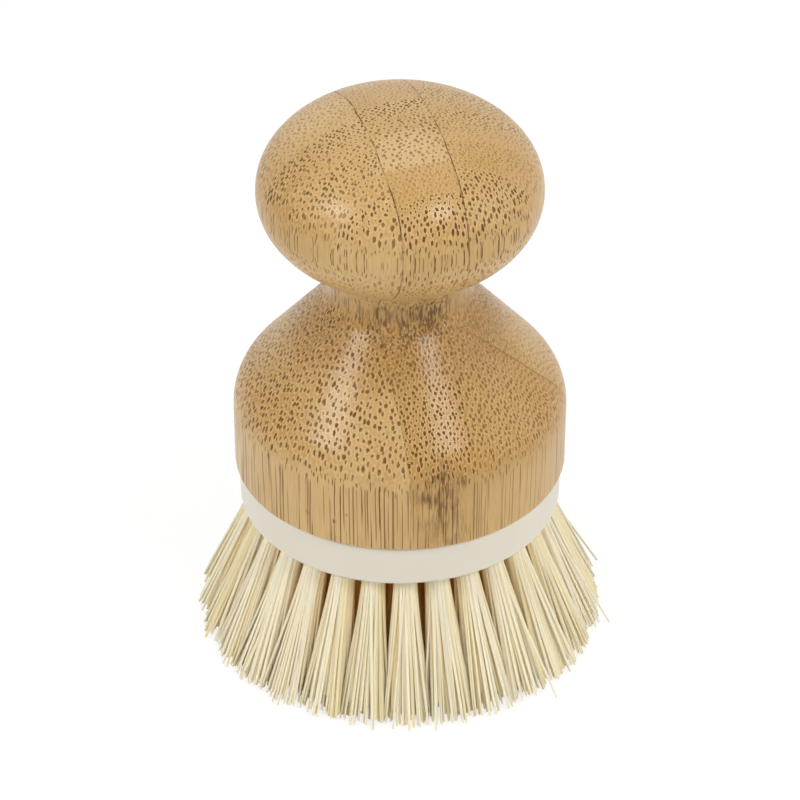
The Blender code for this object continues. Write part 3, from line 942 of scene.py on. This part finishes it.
def bristle(colours):
    """Stiff plant fibre: each bristle has a tone between ivory and straw, with fine streaks along it.

    The middle of a bundle is painted a warmer shade, the inner rows a deeper straw as painted shade, and the
    roots of the inner rows a brown painted shade with a faint painted glow that stands in for light coming
    through. Normals lean outwards from the bundle's middle, so that a bundle shades as one form.
    """

    def build(nodes):
        inner = nodes.kept("bristle_inner")
        outward = nodes.kept("bundle_outward", "Vector")
        streak = nodes.noise(nodes.position() * (3000, 3000, 260))
        shade = nodes.kept("bristle_tone").remap(0.35, 0.95, 0, 0.8) + streak.remap(0.3, 0.7, -0.15, 0.15)
        # Inner rows are painted a deeper straw, as shade inside the field
        shade = (shade + inner * 0.25).smooth(0, 1)
        base = nodes.mix(shade, colour(colours.bristle_pale), colour(colours.bristle_deep))
        # The middle of each bundle is painted warmer, as shade inside the bundle
        core = 1 - outward.length().smooth(0.35, 0.85)
        base = nodes.mix(core * 0.6, base, colour(colours.bristle_core_shade))
        # The roots of the inner rows are painted brown, as shade between the bundles
        painted_root_shade = inner * (1 - nodes.kept("bristle_reach").smooth(0.3, 0.85))
        base = nodes.mix(painted_root_shade, base, colour(colours.bristle_root_shade))
        # Painted glow on the inner roots, an emission in place of light coming through the bundles
        glow = nodes.mix(painted_root_shade, (0, 0, 0, 1), colour(colours.bristle_painted_glow))
        leaning = nodes.add("ShaderNodeVectorTransform", {0: outward * (0.65, 0.65, 0.65)},
                            vector_type="VECTOR", convert_from="OBJECT", convert_to="WORLD")
        facing = nodes.add("ShaderNodeNewGeometry", output="Normal")
        return {"Base Color": base, "Emission Color": glow, "Normal": nodes.maths("NORMALIZE", facing + leaning)}

    return paint("bristle", build, Roughness=0.5, Emission_Strength=1.0, Subsurface_Weight=0.3,
                 Subsurface_Radius=(1.0, 1.0, 1.0), Subsurface_Scale=0.4 * MM)


# Operators


class BRUSH_OT_turn_handle(bpy.types.Operator):
    """Turns the bamboo handle with its knob, waist, bell and socket bore"""

    bl_idname = "brush.turn_handle"
    bl_label = "Turn the handle"

    def execute(self, context):
        mesh = turned_mesh("bamboo_handle", handle_profile(context.scene.brush_handle), HANDLE_SIDES)
        normals = np.zeros(len(mesh.vertices) * 3, np.float32)
        mesh.vertices.foreach_get("normal", normals)
        keep(mesh, "lying", np.abs(normals[2::3]))
        # facing_down lets the bamboo paint its downward faces paler, as painted bounce light from the floor
        keep(mesh, "facing_down", np.clip(-normals[2::3], 0, 1))
        piece = new_piece("bamboo_handle", mesh, bamboo(context.scene.brush_colours))
        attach(piece, "handle")
        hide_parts("handle")
        return {"FINISHED"}


class BRUSH_OT_mould_disc(bpy.types.Operator):
    """Moulds the cream disc with its threaded boss and drills a splayed hole for every bundle"""

    bl_idname = "brush.mould_disc"
    bl_label = "Mould the disc"

    def execute(self, context):
        sizes = context.scene.brush_head
        ridge = thread_ridge(sizes, sizes.disc_top, DISC_HIGH.z, 0, open_top=True)
        mesh = turned_mesh("cream_disc", disc_profile(sizes), DISC_SIDES, ridge)
        material = plastic("cream_plastic", context.scene.brush_colours.disc, 0.05, 0.03)
        piece = new_piece("cream_disc", mesh, material)
        self.drill(piece, sizes)
        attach(piece, "brush_head")
        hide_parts("bristle_disc")
        return {"FINISHED"}

    def drill(self, piece, sizes):
        """Cuts a round blind hole along each bundle's axis: a drill is a closed tube between two rings."""
        spin = circle(DRILL_SIDES)
        points, quads, caps = [], [], []
        for name in TUFT_NODES:
            place = TuftPlace(name)
            radius = place.radius + sizes.hole_clearance
            ring = radius * (spin[:, :1] * place.across + spin[:, 1:] * place.sideways)
            base = len(points) * 2 * DRILL_SIDES
            bottom = place.mouth + place.axis * sizes.hole_depth + ring
            points.append(np.concatenate([bottom, place.mouth - place.axis * MM + ring]))
            quads.append(ring_quads(2, DRILL_SIDES) + base)
            around = np.arange(DRILL_SIDES)
            caps.append(np.stack([around, DRILL_SIDES + around[::-1]]) + base)
        faces = [np.concatenate(quads), np.concatenate(caps)]
        cutter = placed("drills", new_mesh("drills", np.concatenate(points), faces))
        cut = piece.modifiers.new("Bundle holes", "BOOLEAN")
        cut.object = cutter
        cut.solver = "EXACT"
        graph = bpy.context.evaluated_depsgraph_get()
        drilled = bpy.data.meshes.new_from_object(piece.evaluated_get(graph))
        piece.modifiers.clear()
        piece.data = drilled
        drilled.set_sharp_from_angle(angle=SHARP)
        bpy.data.objects.remove(cutter)
        if len(drilled.polygons) < len(TUFT_NODES) * DRILL_SIDES:
            raise RuntimeError("drilling the disc left no disc")


class BRUSH_OT_mould_socket(bpy.types.Operator):
    """Moulds the threaded socket that is glued into the handle"""

    bl_idname = "brush.mould_socket"
    bl_label = "Mould the socket"

    def execute(self, context):
        sizes = context.scene.brush_head
        top = SOCKET_HIGH.z - sizes.socket_roof
        ridge = thread_ridge(sizes, sizes.disc_top, top, sizes.thread_clearance)
        mesh = turned_mesh("threaded_socket", socket_profile(sizes), SOCKET_SIDES, ridge)
        material = plastic("socket_plastic", context.scene.brush_colours.socket, 0.05, 0.04)
        piece = new_piece("threaded_socket", mesh, material)
        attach(piece, "handle")
        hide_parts("thread_socket")
        return {"FINISHED"}


class BRUSH_OT_set_bristles(bpy.types.Operator):
    """Sets a fanned bundle of bristles in every hole of the disc"""

    bl_idname = "brush.set_bristles"
    bl_label = "Set the bristles"

    def execute(self, context):
        sizes = context.scene.brush_bristles
        material = bristle(context.scene.brush_colours)
        for seed, name in enumerate(TUFT_NODES, FIRST_SEED):
            random = np.random.default_rng(seed)
            count = sizes.outer_count if name.startswith("outer") else sizes.inner_count
            place = TuftPlace(name)
            lines, tone = bristle_lines(place, count, sizes, random)
            mouth_reach = np.hypot(lines[:, 1, 0], lines[:, 1, 1])
            inner = np.clip((DISC_HIGH.x - INNER_START - mouth_reach) / INNER_FADE, 0, 1)
            core = bundle_core(place, sizes, random)
            mesh = bristle_mesh(name + "_bristles", lines, tone, inner, core, sizes, random)
            piece = new_piece(name + "_bristles", mesh, material, BRISTLE_SHARP)
            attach(piece, "brush_head")
            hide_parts(name)
        return {"FINISHED"}


# Soft lamps aimed at the brush: degrees round from the front, degrees up, distance, width and power
LAMP_AIM = Vector((0, 0, 0.06))
LAMPS = (
    ("lamp_left", -60, 38, 0.9, 0.30, 2.5),
    ("lamp_right", 41, 46, 0.9, 0.26, 2.1),
    ("lamp_over", 160, 72, 0.9, 0.60, 1.8),
    ("lamp_low", 10, 12, 1.1, 0.70, 1.0),
    ("lamp_side_left", -88, 18, 1.0, 0.80, 0.7),
    ("lamp_side_right", 84, 18, 1.0, 0.80, 1.9),
)


class BRUSH_OT_set_stage(bpy.types.Operator):
    """Sets the pale floor, the soft lamps, the white surroundings and the camera"""

    bl_idname = "brush.set_stage"
    bl_label = "Set the stage"

    def execute(self, context):
        settings = context.scene.brush_stage
        self.floor(settings)
        self.surroundings()
        self.lamps()
        self.camera(settings)
        context.scene.view_settings.view_transform = "Standard"
        return {"FINISHED"}

    def floor(self, settings):
        """A round white floor that looks nearly white to the camera and keeps a soft shadow."""
        material = bpy.data.materials.new("floor")
        material.use_nodes = True
        nodes = Nodes(material.node_tree)
        diffuse = nodes.add("ShaderNodeBsdfDiffuse", {"Color": (0.93, 0.93, 0.93, 1)})
        glow = nodes.add("ShaderNodeEmission", {"Color": (1, 1, 1, 1), "Strength": 1.1})
        paths = nodes.split("ShaderNodeLightPath")
        factor = paths["Is Camera Ray"].most(paths["Is Glossy Ray"]) * 0.72
        mixed = nodes.add("ShaderNodeMixShader", {0: factor, 1: diffuse, 2: glow})
        nodes.tree.links.new(mixed.socket, nodes.tree.nodes["Material Output"].inputs["Surface"])
        rim = settings.floor_radius * np.pad(circle(FLOOR_SIDES), ((0, 0), (0, 1)))
        mesh = new_mesh("floor", rim, [np.arange(FLOOR_SIDES)[None, :]])
        mesh.materials.append(material)
        floor = placed("floor", mesh)

    def surroundings(self):
        """A white world: full white where it is seen or mirrored, and a gentle fill where it lights."""
        world = bpy.data.worlds.new("white_surroundings")
        world.use_nodes = True
        bpy.context.scene.world = world
        nodes = Nodes(world.node_tree)
        paths = nodes.split("ShaderNodeLightPath")
        seen = paths["Is Camera Ray"].most(paths["Is Transmission Ray"]).most(paths["Is Glossy Ray"])
        back = world.node_tree.nodes["Background"]
        back.inputs["Color"].default_value = (1, 1, 1, 1)
        world.node_tree.links.new(nodes.blend(seen, 0.36, 1.0).socket, back.inputs["Strength"])

    def lamps(self):
        """Round soft boxes: two in front on either side, one overhead, a low fill and one at each side."""
        for title, azimuth, elevation, distance, size, power in LAMPS:
            a, e = math.radians(azimuth), math.radians(elevation)
            out = Vector((math.sin(a) * math.cos(e), -math.cos(a) * math.cos(e), math.sin(e)))
            data = bpy.data.lights.new(title, "AREA")
            data.shape = "DISK"
            data.size = size
            data.energy = power
            lamp = placed(title, data)
            lamp.location = LAMP_AIM + out * distance
            lamp.rotation_euler = out.to_track_quat("Z", "Y").to_euler()

    def camera(self, settings):
        """The camera looks down at the aim point from the front."""
        data = bpy.data.cameras.new("camera")
        data.sensor_width = 36
        data.lens = settings.lens
        camera = placed("camera", data)
        tilt = settings.camera_elevation
        camera.location = (0, -settings.camera_distance * math.cos(tilt),
                           settings.camera_height + settings.camera_distance * math.sin(tilt))
        camera.rotation_euler = (math.pi / 2 - tilt, 0, 0)
        bpy.context.scene.camera = camera


OPERATORS = (
    BRUSH_OT_turn_handle,
    BRUSH_OT_mould_disc,
    BRUSH_OT_mould_socket,
    BRUSH_OT_set_bristles,
    BRUSH_OT_set_stage,
)


class BRUSH_PT_workshop(bpy.types.Panel):
    """Lists the brush's settings and the steps that build it"""

    bl_label = "Round brush"
    bl_idname = "BRUSH_PT_workshop"
    bl_space_type = "VIEW_3D"
    bl_region_type = "UI"
    bl_category = "Brush"

    def draw(self, context):
        for title, group in SETTINGS:
            box = self.layout.box()
            for key in group.__annotations__:
                box.prop(getattr(context.scene, title), key)
        for operator in OPERATORS:
            self.layout.operator(operator.bl_idname)


SETTINGS = (
    ("brush_handle", BrushHandleSizes),
    ("brush_head", BrushHeadSizes),
    ("brush_bristles", BrushBristleSizes),
    ("brush_colours", BrushColours),
    ("brush_stage", BrushStageSettings),
)


def register():
    for title, group in SETTINGS:
        bpy.utils.register_class(group)
        setattr(bpy.types.Scene, title, bpy.props.PointerProperty(type=group))
    for shown in (*OPERATORS, BRUSH_PT_workshop):
        bpy.utils.register_class(shown)


def unregister():
    for shown in reversed((*OPERATORS, BRUSH_PT_workshop)):
        bpy.utils.unregister_class(shown)
    for title, group in reversed(SETTINGS):
        delattr(bpy.types.Scene, title)
        bpy.utils.unregister_class(group)


def main():
    """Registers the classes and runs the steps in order."""
    register()
    bpy.ops.brush.turn_handle()
    bpy.ops.brush.mould_disc()
    bpy.ops.brush.mould_socket()
    bpy.ops.brush.set_bristles()
    bpy.ops.brush.set_stage()


if __name__ == "__main__":
    main()
